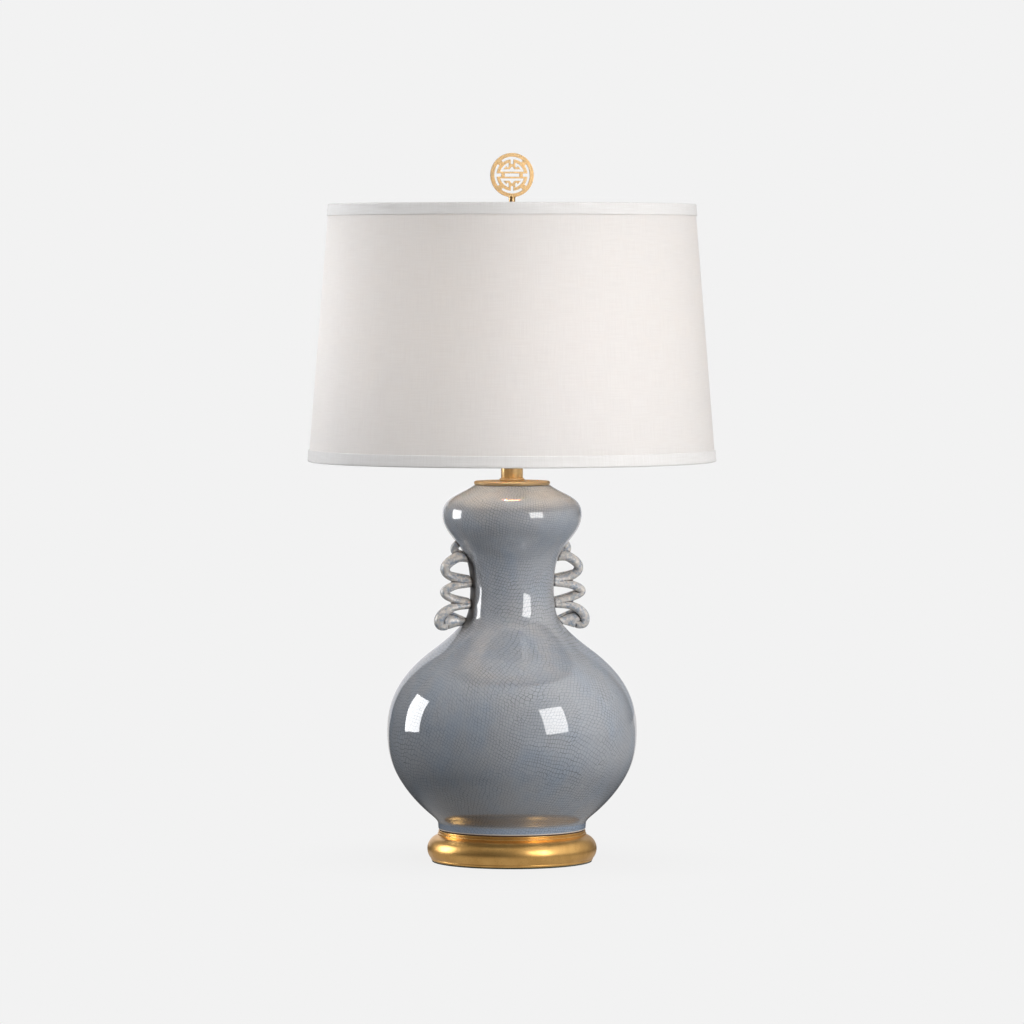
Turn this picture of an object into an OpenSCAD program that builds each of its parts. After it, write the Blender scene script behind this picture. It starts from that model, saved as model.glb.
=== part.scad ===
// Ceramic table lamp: a crackle-glazed gourd vase with squiggle handles on a gilt
// turned base, with a brass neck, a socket and bulb in a harp, a linen drum shade
// and a pierced roundel finial. Millimetres, +Z up, standing on z = 0 with its
// vertical axis on Z. The front faces -Y, and the cord outlet is at the back.

/* [Base] */
// How far the bulge of the turned base reaches out from the vase's foot
base_reach = 13.5; // [11:0.5:20]
// Height of the turned base, from the table to its top ring
base_h = 37; // [34:0.5:44]
// Thickness of the felt under the base
felt_t = 1.5; // [1:0.1:3]
// Depth of the seat that the vase foot stands in
foot_recess = 3; // [2:0.5:5]
// Radius of the pocket under the base, for the clamping nut
pocket_r = 24; // [22:0.5:30]
// Thickness of the wood over the pocket
pocket_roof = 18; // [14:0.5:20]
// Radius of the cord hole in the back of the base
cord_hole_r = 5; // [4:0.1:5.5]
// Radius of the passage through the cord bushing
cord_way_r = 3.2; // [2.5:0.1:3.4]

/* [Vase] */
// Outer radius of the foot ring
foot_r = 87.5; // [84:0.5:90]
// Height of the foot ring
foot_h = 11; // [9:0.5:14]
// Radius of the belly
belly_r = 147.5; // [135:0.5:160]
// Height of the belly's widest line above the foot
belly_up = 119.5; // [110:0.5:130]
// Radius of the neck at its narrowest
neck_r = 49; // [45:0.5:53]
// Height of the lip over the narrowest line
neck_drop = 127; // [118:0.5:136]
// Radius of the crown bulge over the neck
crown_r = 82; // [76:0.5:88]
// Height of the lip over the crown's widest line
crown_drop = 37.5; // [33:0.5:42]
// Radius of the mouth's lip
lip_r = 44; // [41:0.5:46]
// Height of the vase
vase_h = 410; // [380:1:450]
// Thickness of the vase wall
wall = 7; // [5:0.5:8]

/* [Handles] */
// Height of the handles
handle_h = 100; // [90:1:106]
// Half the thickness of the rolled clay strip, seen from the front
strip_half = 4.2; // [3.6:0.1:4.8]
// Depth of the strip from front to back, as a share of its thickness
strip_depth = 1.6; // [1.2:0.05:1.8]

/* [Cap and neck] */
// Radius of the gilt vase cap
cap_r = 45; // [44:0.5:50]
// Thickness of the vase cap
cap_t = 4.5; // [3:0.5:6]
// Radius of the collar on the cap
collar_r = 14.8; // [14:0.1:18]
// Thickness of the collar
collar_t = 3.4; // [2.5:0.1:5]
// Outer radius of the brass neck tube
tube_r = 12.5; // [11:0.1:13.5]
// Wall of the neck tube
tube_wall = 1.2; // [0.8:0.1:2]
// Height of the neck tube
tube_h = 47; // [40:0.5:60]
// Outer radius of the threaded lamp pipe
pipe_r = 5; // [4.8:0.1:5.2]
// Radius of the wire way in the lamp pipe
pipe_bore_r = 3.3; // [2.8:0.1:3.8]

/* [Harp] */
// Height of the harp over its saddle
harp_h = 254; // [245:1:265]
// Distance of each harp leg from the lamp's axis
leg_x = 27; // [25:0.5:30]
// Radius of the harp wire
wire_r = 2; // [1.6:0.1:2.3]
// Angle at which the legs spread
spread = 17.5; // [14:0.5:20]
// Radius of the harp's shoulders
shoulder_r = 58; // [50:1:62]
// Length of the locking sleeves
sleeve_l = 16; // [12:0.5:18]

/* [Socket and bulb] */
// Radius of the socket shell
shell_r = 18.4; // [17.6:0.1:19.5]
// Height of the socket shell
shell_h = 49; // [48:0.5:52]
// Radius of the light bulb
bulb_r = 30; // [26:0.5:34]
// Length of the light bulb with its cap
bulb_l = 108; // [100:1:116]
// Radius of the turn knob
knob_r = 5; // [4:0.1:5.8]
// Length of the turn knob
knob_l = 12.5; // [9:0.5:16]

/* [Shade] */
// Radius of the linen at the bottom rim
shade_bottom_r = 239.5; // [225:0.5:250]
// Radius of the linen at the top rim
shade_top_r = 215.5; // [200:0.5:225]
// Height of the shade
shade_h = 301; // [280:1:305]
// Thickness of the linen
linen_t = 0.6; // [0.4:0.1:1]
// Thickness of the stiff liner
liner_t = 0.8; // [0.6:0.1:1.2]
// Height of the trim bands on the rims
trim_h = 13; // [9:0.5:18]
// Thickness of the trim bands
trim_t = 1.4; // [0.8:0.1:2]
// Radius of the rim wires
ring_wire_r = 1.4; // [1.2:0.1:1.7]
// Height of the top rim over the spider's washer
spider_drop = 12.5; // [9:0.5:20]

/* [Finial] */
// Radius of the pierced roundel
roundel_r = 26; // [20:0.5:30]
// Thickness of the roundel
roundel_t = 3; // [2.4:0.1:4]
// Height of the turned finial base
finial_h = 22; // [20:0.5:26]

/* [Hidden] */
$fn = 96;
slack = 0.3;          // clearance of loose pieces
running = 0.08;       // clearance of a shaft or stud that turns in its hole
bore_slack = 0.3;     // clearance of holes that the lamp pipe passes
eps = 0.01;

// Heights of the stack, from the table up
recess_z = base_h - foot_recess;
gasket_t = 1;
foot_z = recess_z + gasket_t;
belly_z = foot_z + belly_up;
lip_z = foot_z + vase_h;
neck_z = lip_z - neck_drop;
crown_z = lip_z - crown_drop;
cap_z = lip_z + cap_t;
collar_z = cap_z + collar_t;
tube_z = collar_z + tube_h;
check_t = 2;
check_z = tube_z + check_t;
saddle_t = 2;
saddle_z = check_z + saddle_t;
nut_t = 4;
socket_z = saddle_z + nut_t;
harp_top_z = check_z + harp_h;

// Clamping stack in the pocket under the base
pocket_z = recess_z - pocket_roof;
washer_t = 1.6;
spring_t = 1;
base_nut_t = 4.5;
nut_r = 9.5;
pipe_tail = 2.4;
pipe_low_z = pocket_z - washer_t - spring_t - base_nut_t - pipe_tail;
pipe_hole_r = pipe_r + bore_slack;

// Turned base round the vase's foot
base_r = foot_r + base_reach;
seat_r = foot_r + 0.9;
base_bead_r = seat_r + 3;
base_bead_h = 4.6;
base_flange_r = base_r - 4.4;
base_flange_h = 3;

// Cord outlet at the back, half way between the felt and the pocket's roof
cord_z = (felt_t + pocket_z) / 2 + 0.5;
bushing_face_y = base_r - 5;
bushing_l = 12;
bushing_flange_t = 2;
bushing_flange_r = cord_hole_r + 1.8;

function mix(a, b, t) = a + (b - a) * t;

// A span runs from station a to station b, each [height, radius, slope of radius over height].
function span_radius(a, b, t) =
    (2 * pow(t, 3) - 3 * pow(t, 2) + 1) * a[1]
    + (pow(t, 3) - 2 * pow(t, 2) + t) * (b[0] - a[0]) * a[2]
    + (3 * pow(t, 2) - 2 * pow(t, 3)) * b[1]
    + (pow(t, 3) - pow(t, 2)) * (b[0] - a[0]) * b[2];
function span_slope(a, b, t) =
    (6 * pow(t, 2) - 6 * t) * (a[1] - b[1]) / (b[0] - a[0])
    + (3 * pow(t, 2) - 4 * t + 1) * a[2]
    + (3 * pow(t, 2) - 2 * t) * b[2];
// A station between two main ones: shares of the way in height and radius, and of the mean slope.
function between(a, b, height, radius, slope) = [
    mix(a[0], b[0], height), mix(a[1], b[1], radius), slope * (b[1] - a[1]) / (b[0] - a[0])
];
// Points [radius, height] along the stations, set inwards from the curve by the thickness in.
function curve_points(stations, steps, in = 0) = [
    for (k = [0:len(stations) - 2]) for (i = [0:steps - (k == len(stations) - 2 ? 0 : 1)])
        let (a = stations[k], b = stations[k + 1], t = i / steps, m = span_slope(a, b, t))
            [span_radius(a, b, t) - in * sqrt(1 + m * m), mix(a[0], b[0], t)]
];
function arc_points(cx, cy, rx, ry, from, to, steps) = [
    for (i = [0:steps]) let (a = mix(from, to, i / steps)) [cx + rx * cos(a), cy + ry * sin(a)]
];
function reversed(list) = [for (i = [len(list) - 1:-1:0]) list[i]];

module ring(outer, inner, h) {
    difference() {
        cylinder(r = outer, h = h);
        translate([0, 0, -eps]) cylinder(r = inner, h = h + 2 * eps);
    }
}

module hex_nut(across, hole, h) {
    difference() {
        cylinder(r = across, h = h, $fn = 6);
        translate([0, 0, -eps]) cylinder(r = hole, h = h + 2 * eps);
    }
}

// Base: felt, gilt wood, cord bushing and the nut that clamps the whole lamp on its pipe

module felt_pad() {
    color("darkolivegreen") cylinder(r = base_r - 6.5, h = felt_t);
}

bulge_low = felt_t + base_flange_h;
bulge_high = base_h - base_bead_h - 0.8;
bulge_mid = (bulge_low + bulge_high) / 2 - 1.5;
bulge_depth = 16.8;
bulge_reach = 16.4;

module wood_base() {
    bulge_angle_low = asin((bulge_low - bulge_mid) / bulge_reach);
    bulge_angle_high = asin((bulge_high - bulge_mid) / bulge_reach);
    outline = concat(
        [[pipe_hole_r, pocket_z], [pocket_r, pocket_z], [pocket_r, felt_t]],
        arc_points(base_flange_r - 1.2, felt_t + 1.2, 1.2, 1.2, -90, 0, 4),
        [[base_flange_r, bulge_low]],
        arc_points(base_r - bulge_depth, bulge_mid, bulge_depth, bulge_reach,
            bulge_angle_low, bulge_angle_high, 20),
        [[base_bead_r + 0.4, bulge_high + 0.1], [base_bead_r + 0.4, bulge_high + 0.8]],
        arc_points(seat_r, base_h - base_bead_h, base_bead_r - seat_r + 0.6, base_bead_h, 8, 90, 8),
        [[seat_r, recess_z], [pipe_hole_r, recess_z]]
    );
    color("goldenrod") difference() {
        rotate_extrude() polygon(outline);
        translate([0, pocket_r - 4, cord_z]) rotate([-90, 0, 0])
            cylinder(r = cord_hole_r, h = base_r);
        translate([0, bushing_face_y, cord_z]) rotate([-90, 0, 0])
            cylinder(r = bushing_flange_r + slack, h = base_r);
    }
}

module cord_bushing() {
    color("saddlebrown") translate([0, bushing_face_y - bushing_l, cord_z]) rotate([-90, 0, 0])
        difference() {
            union() {
                cylinder(r = cord_hole_r - 0.1, h = bushing_l + eps);
                translate([0, 0, bushing_l]) cylinder(r = bushing_flange_r, h = bushing_flange_t);
            }
            translate([0, 0, -1]) cylinder(r = cord_way_r, h = bushing_l + bushing_flange_t + 2);
        }
}

module base_washer() {
    color("silver") translate([0, 0, pocket_z - washer_t])
        ring(pocket_r - 4, pipe_hole_r, washer_t);
}

module lock_washer() {
    color("gray") translate([0, 0, pocket_z - washer_t - spring_t]) difference() {
        ring(nut_r - 0.6, pipe_hole_r, spring_t);
        translate([-0.6, 0, -1]) cube([1.2, nut_r + 1, spring_t + 2]);
    }
}

module base_nut() {
    color("silver") translate([0, 0, pocket_z - washer_t - spring_t - base_nut_t])
        hex_nut(nut_r, pipe_r + running, base_nut_t);
}

pipe_grip = 8;

module lamp_pipe() {
    color("gray") translate([0, 0, pipe_low_z])
        ring(pipe_r, pipe_bore_r, socket_z + pipe_grip - pipe_low_z);
}

// Vase: a thrown hollow body on a foot ring, with two handles luted to its neck

foot_in_r = foot_r - 9;
floor_z = foot_z + foot_h - 3;
floor_t = 8;
floor_hole_r = 7;
vase_steps = 8;

foot_top = [foot_z + foot_h, foot_r, 0.3];
belly_line = [belly_z, belly_r, 0];
neck_line = [neck_z, neck_r, 0];
crown_line = [crown_z, crown_r, 0];
lip_line = [lip_z, lip_r, 1.33 * (lip_r - crown_r) / (lip_z - crown_z)];
vase_stations = [
    foot_top,
    between(foot_top, belly_line, 0.092, 0.152, 2.17),
    between(foot_top, belly_line, 0.498, 0.782, 1.03),
    belly_line,
    between(belly_line, neck_line, 0.345, 0.162, 1.06),
    between(belly_line, neck_line, 0.584, 0.55, 2.25),
    neck_line,
    between(neck_line, crown_line, 0.38, 0.07, 0.54),
    between(neck_line, crown_line, 0.665, 0.521, 2.22),
    crown_line,
    between(crown_line, lip_line, 0.712, 0.513, 1.88),
    lip_line
];
mouth_r = lip_r - wall * sqrt(1 + pow(lip_line[2], 2));
wall_table = [for (p = curve_points(vase_stations, vase_steps)) [p[1], p[0]]];
function wall_r(z) = lookup(z, wall_table);

module foot_gasket() {
    color("black") translate([0, 0, recess_z]) ring(foot_r - 2.5, foot_in_r + 1, gasket_t);
}

module vase_body() {
    inside = [for (p = curve_points(vase_stations, vase_steps, wall)) if (p[1] > floor_z + floor_t + 1) p];
    outline = concat(
        [[floor_hole_r, floor_z], [foot_in_r, floor_z], [foot_in_r, foot_z],
            [foot_r - 2, foot_z], [foot_r - 0.7, foot_z + 3.5]],
        curve_points(vase_stations, vase_steps),
        reversed(inside),
        [[inside[0][0] - 2, floor_z + floor_t], [floor_hole_r, floor_z + floor_t]]
    );
    color("lightslategray") rotate_extrude() polygon(outline);
}

// Centre line of a handle: distance out from the vase's wall and height over the narrowest line,
// in hundredths of the handle's height, and how much thicker than the rest the strip is there.
// It zigzags down from under the crown.
handle_shape = [
    [-1.2, 59.5, 0.8], [8.8, 51.8, 0.85], [4.6, 47, 0.9], [0.7, 42.3, 1], [6, 39.4, 1],
    [15.7, 38.8, 1.05], [25.2, 35.2, 1.1], [29.6, 29.9, 1.05], [26.3, 24.6, 1], [17.8, 20.4, 0.95],
    [9.2, 17.5, 0.95], [4, 13.4, 1], [9.4, 10, 1], [19.5, 8.6, 1], [29, 6.2, 0.95], [33.7, 1.6, 0.9],
    [28.8, -3.2, 0.9], [18.4, -7.3, 0.95], [8.5, -10.2, 1], [2.3, -13.8, 1], [7.5, -16.7, 1.05],
    [18, -17.3, 1.1], [28.2, -21.4, 1.25], [29.5, -30.9, 1.4], [18.2, -39.7, 1.45],
    [7.7, -40.4, 1.4], [2.2, -35, 1.15]
];
handle_steps = 2;

function smooth(a, b, c, d, t) = 0.5 * (2 * b + (c - a) * t + (2 * a - 5 * b + 4 * c - d) * t * t
    + (3 * b - a - 3 * c + d) * t * t * t);
handle_last = len(handle_shape) - 1;
handle_points = [
    for (k = [0:handle_last - 1]) for (i = [0:handle_steps - (k == handle_last - 1 ? 0 : 1)])
        smooth(handle_shape[max(k - 1, 0)], handle_shape[k], handle_shape[k + 1],
            handle_shape[min(k + 2, handle_last)], i / handle_steps)
];

module strip_bead(p) {
    unit = handle_h / 100;
    z = neck_z + p[1] * unit;
    translate([wall_r(z) + p[0] * unit, 0, z]) scale([1, strip_depth, 1])
        sphere(r = strip_half * p[2], $fn = 14);
}

module handle() {
    for (i = [0:len(handle_points) - 2]) hull() {
        strip_bead(handle_points[i]);
        strip_bead(handle_points[i + 1]);
    }
}

module handle_right() {
    color("slategray") handle();
}

module handle_left() {
    color("slategray") mirror([1, 0, 0]) handle();
}

// Cap and neck: gilt plate over the mouth, collar, brass tube and its top ring

plug_h = 7;

module vase_cap() {
    edge = cap_t / 2;
    outline = concat(
        [[pipe_hole_r, lip_z], [mouth_r - 4, lip_z], [mouth_r - 4, lip_z - plug_h],
            [mouth_r - slack, lip_z - plug_h], [mouth_r - slack, lip_z]],
        arc_points(cap_r - edge, lip_z + edge, edge, edge, -90, 90, 10),
        [[pipe_hole_r, cap_z]]
    );
    color("goldenrod") rotate_extrude() polygon(outline);
}

module cap_collar() {
    edge = collar_t / 2;
    outline = concat(
        [[pipe_hole_r, cap_z]],
        arc_points(collar_r - edge, cap_z + edge, edge, edge, -90, 90, 8),
        [[pipe_hole_r, collar_z]]
    );
    color("goldenrod") rotate_extrude() polygon(outline);
}

module neck_tube() {
    color("goldenrod") translate([0, 0, collar_z]) ring(tube_r, tube_r - tube_wall, tube_h);
}

module neck_check_ring() {
    color("goldenrod") translate([0, 0, tube_z]) ring(tube_r + 0.8, pipe_hole_r, check_t);
}

// Harp: saddle on the pipe, bent wire loop, its stud, and the sleeves that lock its legs

saddle_w = 12;
tab_t = 2.4;
tab_w = 10;
post_z = check_z + 10;
joint_z = post_z + sleeve_l / 2;
rise_z = joint_z + sleeve_l / 2 + sleeve_l + 8;
bend_r = 80;
ball_swell = 0.15;
hub_r = 5;
hub_h = 5.5;
hub_top_z = harp_top_z + wire_r + 0.5;

module harp_saddle() {
    color("silver") {
        difference() {
            union() {
                translate([-leg_x - tab_t / 2, -saddle_w / 2, check_z])
                    cube([2 * leg_x + tab_t, saddle_w, saddle_t]);
                for (side = [-1, 1])
                    translate([side * leg_x - tab_t / 2, -tab_w / 2, check_z])
                        cube([tab_t, tab_w, post_z - check_z]);
            }
            translate([0, 0, check_z - 1]) cylinder(r = pipe_hole_r, h = saddle_t + 2);
        }
        for (side = [-1, 1]) translate([side * leg_x, 0, post_z])
            cylinder(r = wire_r, h = joint_z - post_z);
    }
}

module saddle_nut() {
    color("silver") translate([0, 0, saddle_z]) hex_nut(nut_r, pipe_r + running, nut_t);
}

bend_end_x = leg_x + bend_r * (1 - cos(spread));
bend_end_z = rise_z + bend_r * sin(spread);
slant_l = (harp_top_z - shoulder_r * (1 + sin(spread)) - bend_end_z) / cos(spread);
slant_end_x = bend_end_x + slant_l * sin(spread);
slant_end_z = bend_end_z + slant_l * cos(spread);
shoulder_x = slant_end_x - shoulder_r * cos(spread);
shoulder_z = harp_top_z - shoulder_r;

// A bend of the wire, from one angle to another in the plane of the harp
module wire_bend(x, z, r, from, to) {
    translate([x, 0, z]) rotate([90, 0, 0]) rotate([0, 0, from])
        rotate_extrude(angle = to - from) translate([r, 0]) circle(r = wire_r);
}

module wire_ball(x, z) {
    translate([x, 0, z]) sphere(r = wire_r + ball_swell);
}

// One leg and shoulder of the wire, on the +X side, with a slight ball where a bend begins or ends
module harp_half() {
    translate([leg_x, 0, joint_z]) cylinder(r = wire_r, h = rise_z - joint_z);
    wire_ball(leg_x, rise_z);
    wire_bend(leg_x + bend_r, rise_z, bend_r, 180 - spread, 180);
    wire_ball(bend_end_x, bend_end_z);
    translate([bend_end_x, 0, bend_end_z]) rotate([0, spread, 0]) cylinder(r = wire_r, h = slant_l);
    wire_ball(slant_end_x, slant_end_z);
    wire_bend(shoulder_x, shoulder_z, shoulder_r, -spread, 90);
    wire_ball(shoulder_x, harp_top_z);
}

module harp_wire() {
    color("goldenrod") {
        harp_half();
        mirror([1, 0, 0]) harp_half();
        translate([-shoulder_x, 0, harp_top_z]) rotate([0, 90, 0]) cylinder(r = wire_r, h = 2 * shoulder_x);
        translate([0, 0, hub_top_z - hub_h]) cylinder(r = hub_r, h = hub_h);
    }
}

seat_t = 2;
seat_disc_r = 7;
washer_z = hub_top_z + seat_t;
spider_t = 1.6;
stud_r = 3.05;
stud_l = 11;

module harp_stud() {
    color("goldenrod") {
        translate([0, 0, hub_top_z]) cylinder(r = seat_disc_r, h = seat_t);
        translate([0, 0, hub_top_z]) cylinder(r = stud_r, h = seat_t + stud_l);
    }
}

module harp_sleeve(side) {
    color("goldenrod") translate([side * leg_x, 0, post_z + slack])
        ring(wire_r + 1.8, wire_r + slack, sleeve_l);
}

// Socket: brass cap and shell, fibre liner, moulded body with the switch, screw shell

cap_bowl_r = shell_r + 0.9;
brass_t = 0.8;
bowl_z = socket_z + pipe_grip;
bowl_h = 16;
bowl_top_z = bowl_z + bowl_h;
shell_z = bowl_top_z - 7;
hub_wall = 2.4;
body_r = shell_r - 2;
body_top_z = shell_z + 21;
switch_z = bowl_top_z + knob_r + 0.6;
shaft_r = 1.8;
screw_r = 14.2;
screw_t = 0.6;
contact_t = 4;
bulb_z = body_top_z + contact_t;
bulb_cap_z = bulb_z + 4.5;
bulb_cap_h = 20.5;

module socket_cap() {
    hub = pipe_r + hub_wall;
    outline = [
        [pipe_r + running, socket_z], [hub, socket_z], [hub, bowl_z - brass_t],
        [cap_bowl_r - 4, bowl_z], [cap_bowl_r, bowl_z + 5], [cap_bowl_r, bowl_top_z],
        [cap_bowl_r - brass_t, bowl_top_z], [cap_bowl_r - brass_t, bowl_z + 5.4],
        [cap_bowl_r - 4.4, bowl_z + brass_t], [pipe_r + running, bowl_z + brass_t]
    ];
    color("goldenrod") difference() {
        rotate_extrude() polygon(outline);
        translate([0, 0, socket_z + pipe_grip / 2]) rotate([-90, 0, 0]) cylinder(r = 1.5, h = hub + 2);
    }
}

module set_screw() {
    color("gray") translate([0, pipe_r + 0.2, socket_z + pipe_grip / 2]) rotate([-90, 0, 0]) {
        cylinder(r = 1.4, h = hub_wall + 0.6);
        translate([0, 0, hub_wall + 0.2]) cylinder(r = 2.6, h = 1.4);
    }
}

module shaft_hole(r) {
    translate([0, 0, switch_z]) rotate([90, 0, 0]) cylinder(r = r, h = shell_r + 4);
}

module socket_shell() {
    bead_z = bowl_top_z;
    top_z = shell_z + shell_h;
    outline = [
        [shell_r - brass_t, shell_z], [shell_r, shell_z], [shell_r, bead_z], [cap_bowl_r, bead_z],
        [cap_bowl_r, bead_z + 1], [shell_r, bead_z + 2], [shell_r - 0.5, top_z - 3], [shell_r + 0.5, top_z],
        [shell_r - 0.3, top_z], [shell_r - 0.5 - brass_t, top_z - 3], [shell_r - brass_t, bead_z + 2]
    ];
    color("goldenrod") difference() {
        rotate_extrude() polygon(outline);
        shaft_hole(shaft_r + 0.8);
    }
}

module socket_liner() {
    liner_r = shell_r - brass_t - 0.7;
    color("saddlebrown") difference() {
        translate([0, 0, shell_z]) ring(liner_r, body_r + 0.1, shell_h - 4);
        shaft_hole(shaft_r + 0.8);
    }
}

module socket_body() {
    color("dimgray") difference() {
        union() {
            translate([0, 0, shell_z]) cylinder(r = body_r, h = body_top_z - shell_z);
            translate([0, 0, bowl_z + brass_t]) cylinder(r = 11, h = shell_z - bowl_z - brass_t + eps);
        }
        translate([0, 0, bowl_z]) cylinder(r = pipe_r, h = 5);
        translate([0, -6, switch_z]) rotate([90, 0, 0]) cylinder(r = shaft_r + running, h = shell_r);
    }
}

module terminal_screws() {
    color("goldenrod") for (side = [-1, 1])
        translate([side * 7, 0, shell_z - 1.6]) difference() {
            translate([side * 6.6, 0, 0]) cylinder(r = 2.4, h = 1.6);
            translate([side * 6.6 - 3, -0.4, -eps]) cube([6, 0.8, 0.8]);
        }
}

module screw_shell() {
    color("silver") translate([0, 0, body_top_z]) {
        ring(screw_r, screw_r - screw_t, bulb_cap_z + bulb_cap_h - body_top_z - 1);
        ring(screw_r, 6, screw_t);
    }
}

module center_contact() {
    color("goldenrod") translate([0, 0, body_top_z]) {
        translate([-4, -1.5, 0]) cube([8, 3, 0.8]);
        cylinder(r = 2, h = contact_t);
    }
}

knob_y = shell_r + 4;

module switch_shaft() {
    color("goldenrod") translate([0, -6.4, switch_z]) rotate([90, 0, 0])
        cylinder(r = shaft_r, h = knob_y - 6.4 + knob_l / 2);
}

module switch_knob() {
    color("black") translate([0, -knob_y, switch_z]) rotate([90, 0, 0]) difference() {
        union() {
            cylinder(r = knob_r - 0.8, h = knob_l);
            for (i = [0:11]) rotate([0, 0, i * 30]) translate([knob_r - 1, 0, 1.5])
                cylinder(r = 0.9, h = knob_l - 3, $fn = 24);
        }
        translate([0, 0, -eps]) cylinder(r = shaft_r, h = knob_l / 2 + eps);
    }
}

// Light bulb: frosted glass on a screw cap, with its insulator and tip

glass_z = bulb_cap_z + bulb_cap_h;
glass_neck_r = 13.4;
glass_t = 1;
globe_z = bulb_z + bulb_l - bulb_r;

module bulb_glass() {
    neck_end = [glass_z, glass_neck_r, 0.05];
    globe_line = [globe_z, bulb_r, 0];
    stations = [neck_end, between(neck_end, globe_line, 0.5, 0.42, 1.5), globe_line];
    color("white") rotate_extrude() polygon(concat(
        curve_points(stations, 8),
        arc_points(0, globe_z, bulb_r, bulb_r, 6, 84, 13),
        [[0, globe_z + bulb_r], [0, globe_z + bulb_r - glass_t]],
        arc_points(0, globe_z, bulb_r - glass_t, bulb_r - glass_t, 84, 6, 13),
        reversed(curve_points(stations, 8, glass_t))
    ));
}

module bulb_cap() {
    thread_r = screw_r - screw_t - 0.4;
    turns = 5;
    pitch = 3.6;
    outline = concat(
        [[8.4, bulb_cap_z], [thread_r - 0.8, bulb_cap_z]],
        [for (i = [0:turns * 6]) [thread_r - 0.4 - 0.4 * cos(i * 60), bulb_cap_z + i * pitch / 6]],
        [[glass_neck_r, glass_z], [8.4, glass_z]]
    );
    color("silver") rotate_extrude() polygon(outline);
}

module bulb_insulator() {
    color("black") rotate_extrude() polygon([
        [3, bulb_z + 1.5], [4.6, bulb_z + 1.5], [8.4, bulb_cap_z], [8.4, bulb_cap_z + 3], [3, bulb_cap_z + 3]
    ]);
}

module bulb_contact() {
    color("silver") {
        translate([0, 0, bulb_z]) cylinder(r = 4.4, h = 1.5);
        translate([0, 0, bulb_z]) cylinder(r = 3, h = 4);
    }
}

// Shade: linen on a stiff liner, wired rims under folded trim, and the spider that seats it

shade_top_z = washer_z + spider_t + spider_drop;
shade_low_z = shade_top_z - shade_h;
shade_lean = (shade_bottom_r - shade_top_r) / shade_h;
ring_in = linen_t + liner_t + 0.05 + ring_wire_r;
fold_t = 0.8;
arm_angles = [90, 210, 330];
arm_r = 1.6;
washer_r = 12.5;

function shade_r(z) = shade_bottom_r - (z - shade_low_z) * shade_lean;

// A band of the cone between two heights and two depths under the linen's face
module shade_band(z1, z2, out, in) {
    polygon([[shade_r(z1) - in, z1], [shade_r(z1) - out, z1], [shade_r(z2) - out, z2], [shade_r(z2) - in, z2]]);
}

module shade_linen() {
    color("white") rotate_extrude($fn = 180) shade_band(shade_low_z, shade_top_z, 0, linen_t);
}

module shade_liner() {
    color("ivory") rotate_extrude($fn = 180)
        shade_band(shade_low_z, shade_top_z, linen_t, linen_t + liner_t);
}

// Folded trim round a rim: an outer leaf, the fold over the edge, and the roll round the wire
module trim(rim_z, up) {
    wire_z = rim_z + up * ring_wire_r;
    fold_z = rim_z - up * fold_t;
    color("white") rotate_extrude($fn = 180) difference() {
        union() {
            shade_band(min(fold_z, rim_z + up * trim_h), max(fold_z, rim_z + up * trim_h), -trim_t, 0);
            shade_band(min(fold_z, rim_z), max(fold_z, rim_z), -0.1, ring_in);
            translate([shade_r(wire_z) - ring_in, wire_z]) circle(r = ring_wire_r + fold_t, $fn = 32);
        }
        shade_band(min(rim_z, rim_z + up * trim_h * 2), max(rim_z, rim_z + up * trim_h * 2), 0,
            linen_t + liner_t);
        translate([shade_r(wire_z) - ring_in, wire_z]) circle(r = ring_wire_r + 0.02, $fn = 32);
    }
}

module bottom_trim() {
    trim(shade_low_z, 1);
}

// The roll of the top trim is slit where the spider's arms leave the rim wire.
module top_trim() {
    color("white") difference() {
        trim(shade_top_z, -1);
        spider_arms(arm_r + 0.1);
    }
}

module rim_wire(z) {
    translate([0, 0, z]) rotate_extrude($fn = 180) translate([shade_r(z) - ring_in, 0])
        circle(r = ring_wire_r, $fn = 32);
}

module bottom_ring() {
    color("silver") rim_wire(shade_low_z + ring_wire_r);
}

top_wire_z = shade_top_z - ring_wire_r;
arm_in = washer_r - 2;
arm_in_z = washer_z + spider_t / 2;
arm_out = shade_r(top_wire_z) - ring_in;
arm_out_z = top_wire_z - ring_wire_r * 0.2;
arm_tilt = atan2(arm_out - arm_in, arm_out_z - arm_in_z);
arm_l = norm([arm_out - arm_in, arm_out_z - arm_in_z]);

module spider_arms(r) {
    for (a = arm_angles) rotate([0, 0, a]) translate([arm_in, 0, arm_in_z])
        rotate([0, arm_tilt, 0]) cylinder(r = r, h = arm_l);
}

module spider_fitter() {
    color("goldenrod") {
        translate([0, 0, washer_z]) ring(washer_r, stud_r + 0.55, spider_t);
        spider_arms(arm_r);
        rim_wire(top_wire_z);
    }
}

// Finial: turned brass base on the stud, with a pierced roundel pegged into it

finial_z = washer_z + spider_t;
roundel_z = finial_z + finial_h + roundel_r - 0.6;
peg_r = 1.7;
peg_l = 4;

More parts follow.
